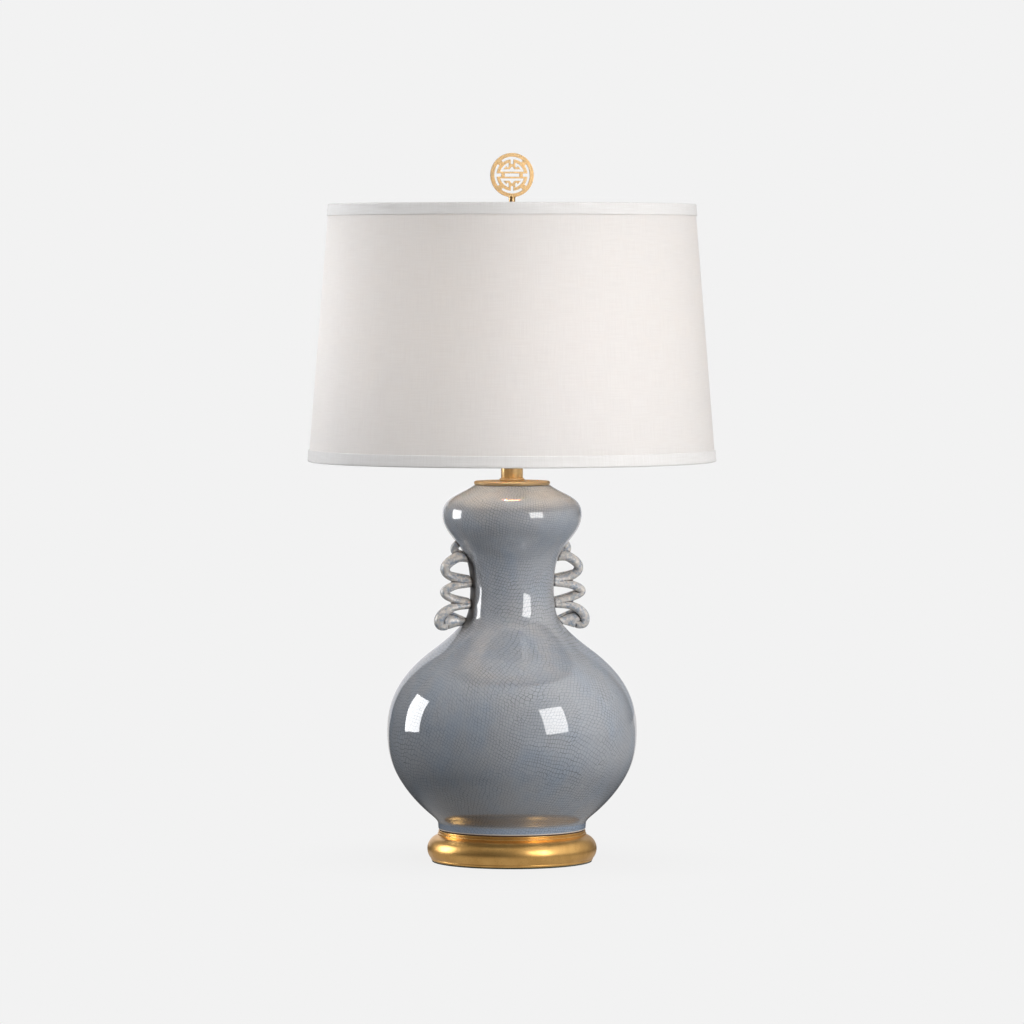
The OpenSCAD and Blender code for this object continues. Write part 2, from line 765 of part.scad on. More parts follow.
module finial_base() {
    top_z = finial_z + finial_h;
    outline = [
        [0, stud_l + washer_z + 1], [stud_r + running, stud_l + washer_z + 1], [stud_r + running, finial_z],
        [6.6, finial_z], [6.9, finial_z + 0.6], [6.9, finial_z + 2.4], [6.2, finial_z + 3.2],
        [5, finial_z + 4.2], [4.8, finial_z + 7], [5.4, finial_z + 9.5], [5.3, finial_z + 11.5],
        [4.6, finial_z + 14], [3.8, finial_z + 16.5], [3.8, top_z - 1.6], [4.4, top_z - 1], [4.4, top_z],
        [0, top_z]
    ];
    color("goldenrod") difference() {
        rotate_extrude() polygon(outline);
        translate([0, roundel_t / 2 + 0.02, roundel_z]) rotate([90, 0, 0])
            cylinder(r = roundel_r + 0.02, h = roundel_t + 0.04);
        translate([0, 0, top_z - peg_l]) cylinder(r = peg_r, h = peg_l + 1);
    }
}

// The roundel's pattern, for a roundel of radius 1: ring, four broken arcs, two bars and four hooks
ring_inner = 0.83;
band_outer = 0.71;
band_inner = 0.575;
notch_half = 0.067;
notch_depth = 0.5;
web_half = 8;
bar_low = 0.072;
bar_high = 0.155;

module sector(r, from, to) {
    polygon(concat([[0, 0]], [for (i = [0:6]) r * [cos(mix(from, to, i / 6)), sin(mix(from, to, i / 6))]]));
}

module fret_quarter() {
    difference() {
        intersection() {
            difference() {
                circle(r = band_outer, $fn = 64);
                circle(r = band_inner, $fn = 64);
            }
            square([1, 1]);
        }
        square([1, bar_low]);
        square([notch_half, 1]);
    }
    intersection() {
        difference() {
            circle(r = ring_inner + 0.01, $fn = 64);
            circle(r = band_outer - 0.02, $fn = 64);
        }
        sector(1.2, 45 - web_half, 45 + web_half);
    }
    translate([0, bar_low]) square([sqrt(pow(band_outer, 2) - pow(bar_low, 2)) - 0.03, bar_high - bar_low]);
    translate([0.345, 0]) square([0.15, bar_low + 0.01]);
    translate([notch_half, 0.38]) square([0.078, 0.22]);
    translate([0, 0.37]) square([notch_half + 0.01, notch_depth - 0.37]);
    polygon([[0.05, 0.41], [0.145, 0.41], [0.17, 0.345], [0.235, 0.345], [0.262, 0.405], [0.4, 0.258],
        [0.13, 0.258], [0.05, 0.34]]);
}

module finial_roundel() {
    color("goldenrod") {
        translate([0, 0, roundel_z]) rotate([90, 0, 0]) {
            translate([0, 0, -roundel_t / 2]) difference() {
                cylinder(r = roundel_r, h = roundel_t);
                translate([0, 0, -1]) cylinder(r = roundel_r * ring_inner, h = roundel_t + 2);
            }
            linear_extrude(height = roundel_t * 0.8, center = true) scale(roundel_r)
                for (a = [0, 1], b = [0, 1]) mirror([a, 0]) mirror([0, b]) fret_quarter();
        }
        translate([0, 0, finial_z + finial_h - peg_l]) cylinder(r = peg_r, h = peg_l + 1);
    }
}

felt_pad();
wood_base();
cord_bushing();
base_washer();
lock_washer();
base_nut();
lamp_pipe();
foot_gasket();
vase_body();
handle_left();
handle_right();
vase_cap();
cap_collar();
neck_tube();
neck_check_ring();
harp_saddle();
saddle_nut();
harp_wire();
harp_stud();
harp_sleeve(-1);  // harp_sleeve_left
harp_sleeve(1);  // harp_sleeve_right
socket_cap();
set_screw();
socket_shell();
socket_liner();
socket_body();
terminal_screws();
screw_shell();
center_contact();
switch_shaft();
switch_knob();
bulb_glass();
bulb_cap();
bulb_insulator();
bulb_contact();
shade_liner();
shade_linen();
top_trim();
bottom_trim();
spider_fitter();
bottom_ring();
finial_base();
finial_roundel();
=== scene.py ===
# A ceramic table lamp: crackle-glazed gourd vase with rolled clay handles on a gilt turned base,
# a brass neck, socket and harp, a linen drum shade and a pierced brass finial.
# Outlines are in millimetres, [distance from the lamp's axis, height over the table].
import math

import bpy
from mathutils import Matrix, Vector, noise


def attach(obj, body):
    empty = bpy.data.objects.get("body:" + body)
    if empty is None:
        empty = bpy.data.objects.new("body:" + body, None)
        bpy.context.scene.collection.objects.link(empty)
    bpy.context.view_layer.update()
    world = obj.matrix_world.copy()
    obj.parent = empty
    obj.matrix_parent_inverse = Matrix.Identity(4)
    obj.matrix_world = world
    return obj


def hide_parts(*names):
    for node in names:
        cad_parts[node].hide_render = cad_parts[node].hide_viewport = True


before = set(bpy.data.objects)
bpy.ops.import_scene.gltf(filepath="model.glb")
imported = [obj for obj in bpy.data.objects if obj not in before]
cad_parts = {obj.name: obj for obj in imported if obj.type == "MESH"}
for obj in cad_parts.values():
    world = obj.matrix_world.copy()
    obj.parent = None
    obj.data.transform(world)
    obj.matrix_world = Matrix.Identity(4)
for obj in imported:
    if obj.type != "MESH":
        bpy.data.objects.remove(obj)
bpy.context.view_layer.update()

# Camera: a long lens, a little higher than the lamp's middle and tilted down, as in the photograph.
# The vase stands turned by a few degrees there, with its left handle forward. The lamp keeps its
# place here, and the camera and the studio are turned round it.
lamp_turn = math.radians(13)
view_turn = Matrix.Rotation(-lamp_turn, 3, "Z")
view_height, view_distance = 0.698, 6.5
aimed_at = Vector((0, 0, 0.4127))
bpy.ops.object.camera_add(location=view_turn @ Vector((0, -view_distance, 0)) + Vector((0, 0, view_height)))
camera = bpy.context.object
camera.rotation_euler = (aimed_at - camera.location).to_track_quat("-Z", "Y").to_euler()
camera.data.lens = 193.95
camera.data.clip_end = 100
bpy.context.scene.camera = camera
bpy.context.scene.view_settings.view_transform = "Standard"


# Studio: a pale floor, a room that is brighter overhead and on the right, and a pale wall behind the
# lamp. The camera sees floor and room as one pale background, and the lamp gets dimmer light from them.
def lay(tree, kind, inputs=None, **options):
    """Lays a shader node, sets its options, and fills each input with a value or links it."""
    made = tree.nodes.new("ShaderNode" + kind)
    for option, value in options.items():
        setattr(made, option, value)
    for socket, value in (inputs or {}).items():
        if isinstance(value, bpy.types.NodeSocket):
            tree.links.new(value, made.inputs[socket])
        else:
            made.inputs[socket].default_value = value
    return made


def calculate(tree, operation, a, b=0.0, c=0.0):
    """One Math node, given as its result."""
    return lay(tree, "Math", {0: a, 1: b, 2: c}, operation=operation).outputs[0]


def times(tree, a, b):
    """The product of two values."""
    return calculate(tree, "MULTIPLY", a, b)


def times_plus(tree, a, b, c):
    """The product of two values, plus a third."""
    return calculate(tree, "MULTIPLY_ADD", a, b, c)


def ease(tree, value, low, high, to_low=0.0, to_high=1.0):
    """A smooth step of the value from one level to another."""
    return lay(tree, "MapRange", {0: value, 1: low, 2: high, 3: to_low, 4: to_high},
               interpolation_type="SMOOTHSTEP").outputs[0]


def blend(tree, share, first, second, how="MIX"):
    """A Mix node for colours, given as its result."""
    made = lay(tree, "Mix", {0: share, 6: first, 7: second}, data_type="RGBA", blend_type=how)
    return made.outputs[2]


def from_view(tree, coordinates):
    """Texture coordinates turned to the camera's axes: as a vector, and as its three values."""
    turned = lay(tree, "VectorRotate", {0: lay(tree, "TexCoord").outputs[coordinates], 3: lamp_turn},
                 rotation_type="Z_AXIS").outputs[0]
    return turned, lay(tree, "SeparateXYZ", {0: turned}).outputs


def behind(tree, axes):
    """How far a direction or a place lies inside the wedge behind the lamp, where the wall is."""
    half_width = 0.5
    return calculate(tree, "SUBTRACT", times(tree, axes[1], half_width), calculate(tree, "ABSOLUTE", axes[0]))


def looked_at(tree, rays):
    """1 for what the camera sees, also through glass, and 0 for light that falls on the lamp."""
    return calculate(tree, "MAXIMUM", rays["Is Camera Ray"], rays["Is Transmission Ray"])


pale = (0.888, 0.888, 0.888, 1)
black = (0, 0, 0, 1)
room_low, room_high = (0.03, 0.032, 0.036, 1), (0.52, 0.51, 0.50, 1)
bright_toward, bright_share, front_share = (0.80, -0.57, 0.18), 0.93, 0.05
wall_left, wall_right, wall_rise = (0.86, 0.86, 0.90, 1), (0.40, 0.42, 0.46, 1), 0.8

room = bpy.data.worlds.new("room")
bpy.context.scene.world = room
room.use_nodes = True
tree = room.node_tree
tree.nodes.clear()
rays = lay(tree, "LightPath").outputs
facing, toward = from_view(tree, "Generated")
light = blend(tree, toward[2], room_low, room_high)
bright_side = lay(tree, "VectorMath", {0: facing, 1: bright_toward}, operation="DOT_PRODUCT").outputs[1]
bright_side = times(tree, calculate(tree, "MAXIMUM", bright_side, 0.0), bright_share)
front = calculate(tree, "MAXIMUM", times(tree, toward[1], -1.0), 0.0)
light = blend(tree, 1.0, light, times_plus(tree, front, front_share, bright_side), "ADD")
dimmed = times(tree, rays["Is Glossy Ray"], ease(tree, toward[1], -1.0, -0.2, 0.82, 0.16))
light = blend(tree, dimmed, light, black)
under_top = calculate(tree, "SUBTRACT", times(tree, toward[1], wall_rise), toward[2])
wall = times(tree, ease(tree, behind(tree, toward), 0.0, 0.03), ease(tree, under_top, 0.0, 0.03))
wall_tone = blend(tree, ease(tree, toward[0], -0.05, 0.10), wall_left, wall_right)
light = blend(tree, times(tree, wall, rays["Is Glossy Ray"]), light, wall_tone)
background = lay(tree, "Background", {0: blend(tree, looked_at(tree, rays), light, pale), 1: 1.0})
lay(tree, "OutputWorld", {0: background.outputs[0]})

# The floor lies just under the felt, so that the two don't share a plane, and is clear from below. It
# keeps a faint shadow round the base.
bpy.ops.mesh.primitive_plane_add(size=14)
floor = bpy.context.object
floor.name = "floor"
floor.location.z = -0.0001
paper = bpy.data.materials.new("paper floor")
paper.use_nodes = True
tree = paper.node_tree
tree.nodes.clear()
rays = lay(tree, "LightPath").outputs
away = lay(tree, "VectorMath", {0: lay(tree, "TexCoord").outputs["Object"]}, operation="LENGTH").outputs[1]
across = from_view(tree, "Object")[1]
glow = lay(tree, "Emission", {0: pale, 1: 1.0}).outputs[0]
lit = lay(tree, "BsdfDiffuse", {0: (0.85, 0.85, 0.85, 1)}).outputs[0]
shown = lay(tree, "MixShader", {0: ease(tree, away, 0.10, 0.34, 0.06, 0.0), 1: glow, 2: lit}).outputs[0]
# Painted light on the floor, seen only in reflections: it glows round the base, behind the lamp and on the
# right. For light that bounces off it, its colour is painted darker on the left and paler on the right.
near = ease(tree, away, 0.11, 0.24, 0.44, 0.05)
painted_floor_glow = calculate(tree, "MAXIMUM", near, ease(tree, behind(tree, across), 0.0, 0.1, 0.0, 0.85))
painted_floor_glow = calculate(tree, "MAXIMUM", painted_floor_glow, ease(tree, across[0], 0.1, 0.6, 0.0, 0.35))
painted_floor_glow = lay(tree, "Emission", {0: (1, 0.98, 0.97, 1), 1: painted_floor_glow}).outputs[0]
dim_left, dim_right = (0.08, 0.08, 0.08, 1), (0.55, 0.55, 0.55, 1)
dim = blend(tree, ease(tree, across[0], -0.15, 0.5), dim_left, dim_right)
dim = lay(tree, "BsdfDiffuse", {0: dim}).outputs[0]
given_back = lay(tree, "MixShader", {0: rays["Is Glossy Ray"], 1: dim, 2: painted_floor_glow}).outputs[0]
from_above = lay(tree, "MixShader", {0: looked_at(tree, rays), 1: given_back, 2: shown}).outputs[0]
from_below = lay(tree, "NewGeometry").outputs["Backfacing"]
clear = lay(tree, "BsdfTransparent").outputs[0]
either = lay(tree, "MixShader", {0: from_below, 1: from_above, 2: clear}).outputs[0]
lay(tree, "OutputMaterial", {0: either})
floor.data.materials.append(paper)


def softbox(name, place, size, roll, watts, colour, aim=(0, 0, 0.2), spread=180):
    """A lit panel at a place, turned to a point on the lamp and rolled about its own axis. A grid on its
    front can narrow its spread."""
    place, aim = view_turn @ Vector(place), view_turn @ Vector(aim)
    bpy.ops.object.light_add(type="AREA", location=place)
    panel = bpy.context.object
    panel.name = name
    turned = (place - aim).to_track_quat("Z", "Y").to_matrix() @ Matrix.Rotation(math.radians(roll), 3, "Z")
    panel.rotation_euler = turned.to_euler()
    panel.data.shape = "RECTANGLE"
    panel.data.size, panel.data.size_y = size
    panel.data.energy, panel.data.color, panel.data.spread = watts, colour, math.radians(spread)
    panel.visible_camera = False
    return panel


softbox("softbox_right", (1.957, -2.297, 1.111), (1.24, 1.75), 4, 34, (1.0, 0.99, 0.985))
softbox("softbox_left", (-2.886, 0.748, 0.84), (1.20, 1.56), 4, 40, (0.985, 0.99, 1.0))
gridded = (0.30, 0.30)
edge_lamp = softbox("gridded_left", (-1.3, 0.0, 0.77), gridded, 0, 0.42, (0.95, 0.97, 1.0),
                    aim=(0, 0, 0.64), spread=40)
front_lamp = softbox("gridded_front", (0.3, -2.5, 0.66), gridded, 0, 0.135, (1.0, 0.98, 0.98),
                     aim=(0, 0, 0.57), spread=20)
edge_lamp.visible_glossy = front_lamp.visible_glossy = False


# Felt pad: wool felt glued under the base, cut a little smaller than it.
def finish_named(name, **sockets):
    """A material with its Principled shader, whose sockets are given by name with _ for a space."""
    made = bpy.data.materials.new(name)
    made.use_nodes = True
    shader = made.node_tree.nodes["Principled BSDF"]
    for socket, value in sockets.items():
        shader.inputs[socket.replace("_", " ")].default_value = value
    return made, made.node_tree, shader


def on_object(tree, stretch=None):
    """Object coordinates, which can be stretched along the axes."""
    where = lay(tree, "TexCoord").outputs["Object"]
    return lay(tree, "Mapping", {0: where, 3: stretch}).outputs[0] if stretch else where


def cloudy(tree, where, scale, detail=3.0, rough=0.55, low=0.35, high=0.65):
    """A noise mask from 0 to 1."""
    made = lay(tree, "TexNoise", {"Vector": where, "Scale": scale, "Detail": detail, "Roughness": rough})
    return ease(tree, made.outputs["Fac"], low, high)


def paint(tree, shader, tone, rough=None):
    """Links the colour to the shader, and the roughness where that varies too."""
    tree.links.new(tone, shader.inputs["Base Color"])
    if rough is not None:
        tree.links.new(rough, shader.inputs["Roughness"])


def dent(tree, shader, height, distance, strength=1.0):
    """A Bump node between a height and the shader's normal."""
    bump = lay(tree, "Bump", {"Strength": strength, "Distance": distance, "Height": height})
    tree.links.new(bump.outputs[0], shader.inputs["Normal"])


def dress(material, *nodes):
    """Gives CAD nodes their material."""
    for node in nodes:
        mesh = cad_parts[node].data
        mesh.materials.clear()
        mesh.materials.append(material)


felt, tree, shader = finish_named("felt", Roughness=0.95, Sheen_Weight=0.4)
wool = cloudy(tree, on_object(tree), 1400.0, detail=4.0, rough=0.7)
tufts = cloudy(tree, on_object(tree), 160.0)
tone = blend(tree, wool, (0.012, 0.022, 0.014, 1), (0.035, 0.055, 0.036, 1))
paint(tree, shader, blend(tree, tufts, tone, (0.03, 0.05, 0.03, 1)))
dent(tree, shader, wool, 0.0004)
dress(felt, "felt_pad")


# Base: turned wood, gessoed and gilt with metal leaf, which is rubbed thin in patches. Two thin beads
# run over its bulge, and the vase's foot stands in its recess.
def node_group(name, inputs, outputs):
    """An empty group with its sockets: inputs by name and kind, and outputs that are all values."""
    group = bpy.data.node_groups.new(name, "ShaderNodeTree")
    for socket, kind in inputs.items():
        group.interface.new_socket(socket, in_out="INPUT", socket_type="NodeSocket" + kind)
    for socket in outputs:
        group.interface.new_socket(socket, in_out="OUTPUT", socket_type="NodeSocketFloat")
    return group, group.nodes.new("NodeGroupInput").outputs, group.nodes.new("NodeGroupOutput").inputs


def patina_group():
    """Masks for leaf and cast metal: broad clouds, fine specks and thin scratches."""
    group, given, made = node_group("patina", {"Vector": "Vector", "Patch Size": "Float"},
                                    ("Patches", "Specks", "Scratches"))
    sized = calculate(group, "DIVIDE", 1.0, given["Patch Size"])
    finer = times(group, sized, 14.0)
    patches = cloudy(group, given["Vector"], sized, detail=4.0, rough=0.6, low=0.38, high=0.64)
    specks = cloudy(group, given["Vector"], finer, detail=2.0, rough=0.6, low=0.56, high=0.74)
    tilt, stretch = (0.5, 0.3, 0.9), (180, 900, 240)
    drawn_out = lay(group, "Mapping", {0: given["Vector"], 2: tilt, 3: stretch}).outputs[0]
    lines = lay(group, "TexNoise", {"Vector": drawn_out, "Scale": 1.0, "Detail": 2.0, "Distortion": 0.6})
    beside_line = calculate(group, "ABSOLUTE", calculate(group, "SUBTRACT", lines.outputs["Fac"], 0.5))
    group.links.new(patches, made["Patches"])
    group.links.new(specks, made["Specks"])
    group.links.new(ease(group, beside_line, 0.0, 0.018, 1.0, 0.0), made["Scratches"])
    return group


patina = patina_group()


def worn(tree, patch_size):
    """The patina's masks on Object coordinates."""
    return lay(tree, "Group", {"Vector": on_object(tree), "Patch Size": patch_size}, node_tree=patina).outputs


leaf_bright = (0.93, 0.55, 0.18, 1)
leaf_deep = (0.64, 0.33, 0.09, 1)
leaf_olive = (0.36, 0.22, 0.05, 1)

gilt_wood, tree, shader = finish_named("gilt wood", Metallic=0.92)
masks = worn(tree, 0.022)
tone = blend(tree, times(tree, masks["Patches"], 0.45), leaf_bright, leaf_deep)
tone = blend(tree, times(tree, masks["Specks"], 0.35), tone, leaf_olive)
tone = blend(tree, times(tree, masks["Scratches"], 0.25), tone, leaf_bright)
paint(tree, shader, tone, times_plus(tree, masks["Patches"], 0.06, 0.30))
dent(tree, shader, calculate(tree, "ADD", masks["Scratches"], masks["Specks"]), 0.00002, 0.08)


def turn(name, outline, steps=160):
    """Draws the closed outline point by point beside the axis and spins it round to a new piece."""
    bpy.ops.object.select_all(action="DESELECT")
    bpy.ops.mesh.primitive_plane_add(size=0.001)
    piece = bpy.context.object
    piece.name = piece.data.name = name
    points = [Vector((r, 0, z)) / 1000 for r, z in outline]
    bpy.ops.object.mode_set(mode="EDIT")
    bpy.ops.mesh.merge(type="CENTER")
    bpy.ops.transform.translate(value=points[0])
    for here, there in zip(points, points[1:] + points[:1]):
        bpy.ops.mesh.extrude_region_move(TRANSFORM_OT_translate={"value": there - here})
    bpy.ops.mesh.select_all(action="SELECT")
    bpy.ops.mesh.spin(steps=steps, angle=math.tau, center=(0, 0, 0), axis=(0, 0, 1))
    bpy.ops.mesh.select_all(action="SELECT")
    bpy.ops.mesh.remove_doubles(threshold=1e-6)
    bpy.ops.mesh.normals_make_consistent(inside=False)
    bpy.ops.object.mode_set(mode="OBJECT")
    return piece


def apply_modifiers(piece, *modifiers):
    """Puts modifiers on the piece, each (kind, settings), and applies them in order."""
    bpy.ops.object.select_all(action="DESELECT")
    piece.select_set(True)
    bpy.context.view_layer.objects.active = piece
    for kind, settings in modifiers:
        made = piece.modifiers.new(kind, kind)
        for setting, value in settings.items():
            setattr(made, setting, value)
        bpy.ops.object.modifier_apply(modifier=made.name)


def soften(piece, width, angle=25, segments=3):
    """Rounds the piece's edges, in millimetres, and shades its faces smooth."""
    apply_modifiers(piece, ("BEVEL", {"width": width / 1000, "segments": segments, "limit_method": "ANGLE",
                                      "angle_limit": math.radians(angle)}))
    bpy.ops.object.shade_smooth_by_angle(angle=math.radians(40))


def fit(piece, body, slot, material, *nodes):
    """Fixes a finished piece to its body, with its material, in place of CAD nodes."""
    piece.data.materials.clear()
    piece.data.materials.append(material)
    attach(piece, body)
    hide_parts(*nodes)


base_low, base_h, recess_z, rim_r = 1.5, 37, 34, 85.2
pocket_r, pocket_z, pipe_hole = 24, 16, 5.3
bulge_r, bulge_z, bulge_out, bulge_up = 84.1, 15, 16, 16.3
bottom_edge = [[94.6, base_low], [95.2, 1.9], [95.6, 2.6], [95.7, 3.5], [95.5, 4.2]]
bulge = [[bulge_r + bulge_out * math.cos(math.radians(a)), bulge_z + bulge_up * math.sin(math.radians(a))]
         for a in range(-40, 75, 3)]
beads = [[87.8, 31.1], [87.3, 31.5], [87.4, 31.9], [87.8, 32.4], [87.9, 33.0], [87.6, 33.6], [86.9, 34.1],
         [86.4, 34.4], [86.4, 34.8], [86.8, 35.2], [87.0, 35.8], [86.9, 36.4], [86.4, 36.9], [85.8, base_h]]
recess = [[rim_r, 36.7], [rim_r, recess_z], [pipe_hole, recess_z]]
base = turn("wood_base_gilt", [[pipe_hole, pocket_z], [pocket_r, pocket_z], [pocket_r, base_low]]
            + bottom_edge + bulge + beads + recess, steps=192)

# The cord hole runs from the pocket to the back, where the bushing's bore is wider.
cord_z, cord_hole_r, bushing_r, bushing_face, outside_y = 9.25, 5, 7.1, 96, 133
for r, near in ((cord_hole_r, pocket_r - 3), (bushing_r, bushing_face)):
    bpy.ops.mesh.primitive_cylinder_add(vertices=64, radius=r / 1000, depth=(outside_y - near) / 1000,
                                        location=(0, (near + outside_y) / 2000, cord_z / 1000),
                                        rotation=(math.radians(90), 0, 0))
    drill = bpy.context.object
    apply_modifiers(base, ("BOOLEAN", {"operation": "DIFFERENCE", "solver": "EXACT", "object": drill}))
    bpy.data.objects.remove(drill)
soften(base, 0.12, angle=35, segments=2)
fit(base, "stand", "gilt_wood", gilt_wood, "wood_base")


# Cord bushing: brown moulded plastic, pressed into the cord hole at the back of the base.
def mottled(name, rough, scale, first, second, stretch=None):
    """A plain material, whose tone drifts between two colours."""
    made, tree, shader = finish_named(name, Roughness=rough)
    paint(tree, shader, blend(tree, cloudy(tree, on_object(tree, stretch), scale), first, second))
    return made, tree, shader


brown_plastic, tree, shader = mottled("brown plastic", 0.42, 220.0, (0.055, 0.022, 0.010, 1),
                                      (0.08, 0.034, 0.016, 1))
dent(tree, shader, cloudy(tree, on_object(tree), 2600.0), 0.00004, 0.4)
dress(brown_plastic, "cord_bushing")


# Clamping stack under the base and the threaded pipe, with the socket's screw and the harp's nut:
# zinc-plated steel.
def metal(name, patch_size, bright, deep, patched=1.0, specks=None, smooth=0.2, rougher=0.1, dents=None,
          metallic=1.0):
    """A metal that goes from bright to deep in patches, which are rougher too. Its specks are given as
    (colour, share), and its dents as (mask, distance, strength)."""
    made, tree, shader = finish_named(name, Metallic=metallic)
    masks = worn(tree, patch_size)
    tone = blend(tree, times(tree, masks["Patches"], patched), bright, deep)
    if specks:
        colour, share = specks
        tone = blend(tree, times(tree, masks["Specks"], share), tone, colour)
    paint(tree, shader, tone, times_plus(tree, masks["Patches"], rougher, smooth))
    if dents:
        mask, distance, strength = dents
        dent(tree, shader, masks[mask], distance, strength)
    return made


zinc_steel = metal("zinc steel", 0.006, (0.56, 0.57, 0.58, 1), (0.44, 0.45, 0.44, 1),
                   specks=((0.30, 0.28, 0.24, 1), 0.4), smooth=0.28, rougher=0.15,
                   dents=("Scratches", 0.00002, 0.5))
dress(zinc_steel, "base_washer", "lock_washer", "base_nut", "lamp_pipe", "set_screw", "saddle_nut")

# Gasket: soft rubber ring between the wood and the foot of the vase.
rubber = mottled("rubber ring", 0.8, 90.0, (0.012, 0.012, 0.012, 1), (0.03, 0.03, 0.029, 1))[0]
dress(rubber, "foot_gasket")


# Vase: thrown stoneware on a foot ring, under a thick grey-blue glaze that has crackled all over.
# Its wall is hollow, and the foot's lower edge is wiped free of glaze.
def profile(stations, steps, inwards=0.0):
    """Points [radius, height] on a smooth curve through stations (height, radius, slope)."""
    points = []
    for a, b in zip(stations, stations[1:]):
        rise = b[0] - a[0]
        for step in range(steps + (b is stations[-1])):
            t = step / steps
            radius = ((2 * t**3 - 3 * t**2 + 1) * a[1] + (t**3 - 2 * t**2 + t) * rise * a[2]
                      + (3 * t**2 - 2 * t**3) * b[1] + (t**3 - t**2) * rise * b[2])
            slope = ((6 * t**2 - 6 * t) * (a[1] - b[1]) / rise + (3 * t**2 - 4 * t + 1) * a[2]
                     + (3 * t**2 - 2 * t) * b[2])
            points.append([radius - inwards * math.sqrt(1 + slope**2), a[0] + rise * t])
    return points


foot_z, lip_z, wall_t = 35, 445, 7
floor_hole, foot_inside, floor_under, floor_top = 7, 78.5, 43, 51
stations = [
    (46, 87.5, 0.3), (56, 96.6, 1.2), (100, 134.4, 0.57), (154.5, 147.5, 0), (210.9, 131.6, -0.634),
    (250, 93.3, -1.356), (273.3, 65.7, -0.98), (285.3, 55.7, -0.55), (299, 51.1, -0.17), (324, 49.3, 0),
    (349, 51.6, 0.2), (377.5, 66.2, 0.832), (407.5, 82, 0), (433.8, 64.1, -2.03), (lip_z, 44, -1.35),
]
foot = [[floor_hole, floor_under], [foot_inside, floor_under], [foot_inside, foot_z], [84.5, foot_z],
        [84.9, 37.6], [86.2, 38.2], [86.8, 38.8], [87.0, 39.6]]
outside = profile(stations, 10)
inside = [p for p in profile(stations, 5, wall_t) if p[1] > floor_top + 1]
vase = turn("vase_body_glazed", foot + outside + inside[::-1]
            + [[inside[0][0] - 2, floor_top], [floor_hole, floor_top]], steps=192)
soften(vase, 0.8, angle=40)


def crackle_group():
    """The net of fine cracks in a glaze, laid out square round the axis. It is given the climb, which is
    the length along the profile in shares of the radius. It gives the lines, and a tone for each cell."""
    given_kinds = {"Vector": "Vector", "Climb": "Float", "Cell Size": "Float", "Line Width": "Float"}
    group, given, made = node_group("crackle", given_kinds, ("Lines", "Cells"))
    spot = lay(group, "SeparateXYZ", {0: given["Vector"]}).outputs
    angle = calculate(group, "ARCTAN2", spot[0], times(group, spot[1], -1.0))
    flat = lay(group, "CombineXYZ", {0: spot[0], 1: spot[1]}).outputs[0]
    radius = lay(group, "VectorMath", {0: flat}, operation="LENGTH").outputs[1]
    sway = lay(group, "TexNoise", {"Vector": given["Vector"], "Scale": 8.0, "Detail": 0.0}).outputs["Color"]
    stir = lay(group, "TexNoise", {"Vector": given["Vector"], "Scale": 62.0, "Detail": 0.0}).outputs["Color"]

    # The radius in rough steps, so that the number of cells round the axis changes at ragged borders.
    first_r, growth = 0.05, 1.25
    stirred = times_plus(group, lay(group, "SeparateXYZ", {0: stir}).outputs[2], 0.3, 0.85)
    ratio = calculate(group, "DIVIDE", times(group, radius, stirred), first_r)
    step = calculate(group, "LOGARITHM", ratio, growth)
    step = calculate(group, "POWER", growth, calculate(group, "ROUND", step))
    count = calculate(group, "DIVIDE", times(group, step, math.tau * first_r), given["Cell Size"])
    share = calculate(group, "DIVIDE", calculate(group, "ROUND", count), math.tau)

    net = lay(group, "CombineXYZ", {0: times(group, angle, share), 1: times(group, given["Climb"], share)})
    net = lay(group, "VectorRotate", {0: net.outputs[0], 3: 0.35}, rotation_type="Z_AXIS").outputs[0]
    for push, far in ((sway, 15), (stir, 1.3)):
        pushed = lay(group, "VectorMath", {0: push, 1: (far, far, 0), 2: net}, operation="MULTIPLY_ADD")
        net = pushed.outputs[0]
    cells = {"Vector": net, "Scale": 1.0, "Randomness": 0.36}
    edges = lay(group, "TexVoronoi", cells, voronoi_dimensions="2D", feature="DISTANCE_TO_EDGE")
    lines = ease(group, edges.outputs["Distance"], 0.0, given["Line Width"], 1.0, 0.0)
    strong = times_plus(group, cloudy(group, given["Vector"], 11.0, detail=1.0), 0.4, 0.6)
    strong = times(group, strong, times_plus(group, cloudy(group, given["Vector"], 80.0), 0.4, 0.6))
    group.links.new(times(group, lines, strong), made["Lines"])
    tones = lay(group, "TexVoronoi", cells, voronoi_dimensions="2D").outputs["Color"]
    group.links.new(lay(group, "SeparateXYZ", {0: tones}).outputs[0], made["Cells"])
    return group


climb, path = 0.0, [(outside[0][1], 0.0)]
for (r1, z1), (r2, z2) in zip(outside, outside[1:]):
    climb += math.hypot(r2 - r1, z2 - z1) / ((r1 + r2) / 2)
    path.append((z2, climb))
marks = vase.data.attributes.new("climb", "FLOAT", "POINT")
for v in vase.data.vertices:
    height = v.co.z * 1000
    step = min(max(sum(1 for z, _ in path if z <= height) - 1, 0), len(path) - 2)
    (z1, c1), (z2, c2) = path[step], path[step + 1]
    marks.data[v.index].value = c1 + (c2 - c1) * (height - z1) / (z2 - z1)

glaze_grey = (0.345, 0.37, 0.41, 1)
glaze_blue = (0.305, 0.352, 0.42, 1)
glaze_warm = (0.36, 0.37, 0.39, 1)
foot_blue = (0.31, 0.41, 0.56, 1)
cell_pale = (0.46, 0.50, 0.54, 1)
crack_dark = (0.075, 0.08, 0.085, 1)
seam_stain_and_shade = (0.028, 0.022, 0.018, 1)
rim_white, foot_brown_and_gap_shade = (0.74, 0.70, 0.66, 1), (0.10, 0.045, 0.03, 1)

# Where the glaze changes: pairs of heights in metres, from the foot up.
brown_end, white_end = (0.0380, 0.0384), (0.0394, 0.0399)
band_end, sheen_end = (0.0455, 0.0468), (0.050, 0.080)
seam_start, seam_end, finer_above = (0.268, 0.290), (0.352, 0.372), 0.352

